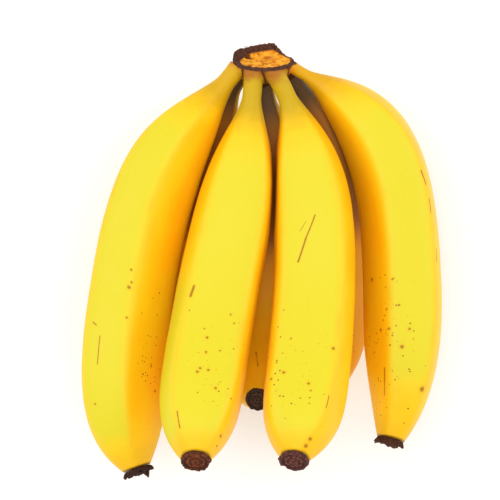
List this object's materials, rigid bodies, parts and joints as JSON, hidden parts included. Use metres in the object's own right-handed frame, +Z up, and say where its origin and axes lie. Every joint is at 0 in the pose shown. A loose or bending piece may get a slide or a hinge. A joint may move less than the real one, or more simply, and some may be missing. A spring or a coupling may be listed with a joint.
{
  "type": "bunch of bananas",
  "caption": "Bunch of ripe yellow bananas joined at a cut crown, lying on its rounded back with the fruits' bend opening upward.",
  "frame": {"origin": "on the surface that the bunch lies on, under the middle of its bounding box", "axes": "+Z up from that surface, +Y along the bunch towards the cut crown, +X to the right when it is seen from above with the crown at the top"},
  "size_m": [0.1578, 0.19, 0.101],
  "materials": {
    "peel": "smooth, slightly waxy ripe banana peel with small brown marks",
    "crown": "dried fibrous cut crown, brown with an orange cut face",
    "blossom": "dry dark brown remains of the flower"
  },
  "bodies": {
    "root": {"crown": "crown", "banana_front_far_left": "peel", "banana_front_left": "peel", "banana_front_right": "peel", "banana_front_far_right": "peel", "banana_back_middle": "peel", "banana_back_right": "peel", "banana_back_left": "peel", "blossom_front_far_left": "blossom", "blossom_front_left": "blossom", "blossom_front_right": "blossom", "blossom_front_far_right": "blossom", "blossom_back_middle": "blossom", "blossom_back_right": "blossom", "blossom_back_left": "blossom"}
  },
  "joints": []
}
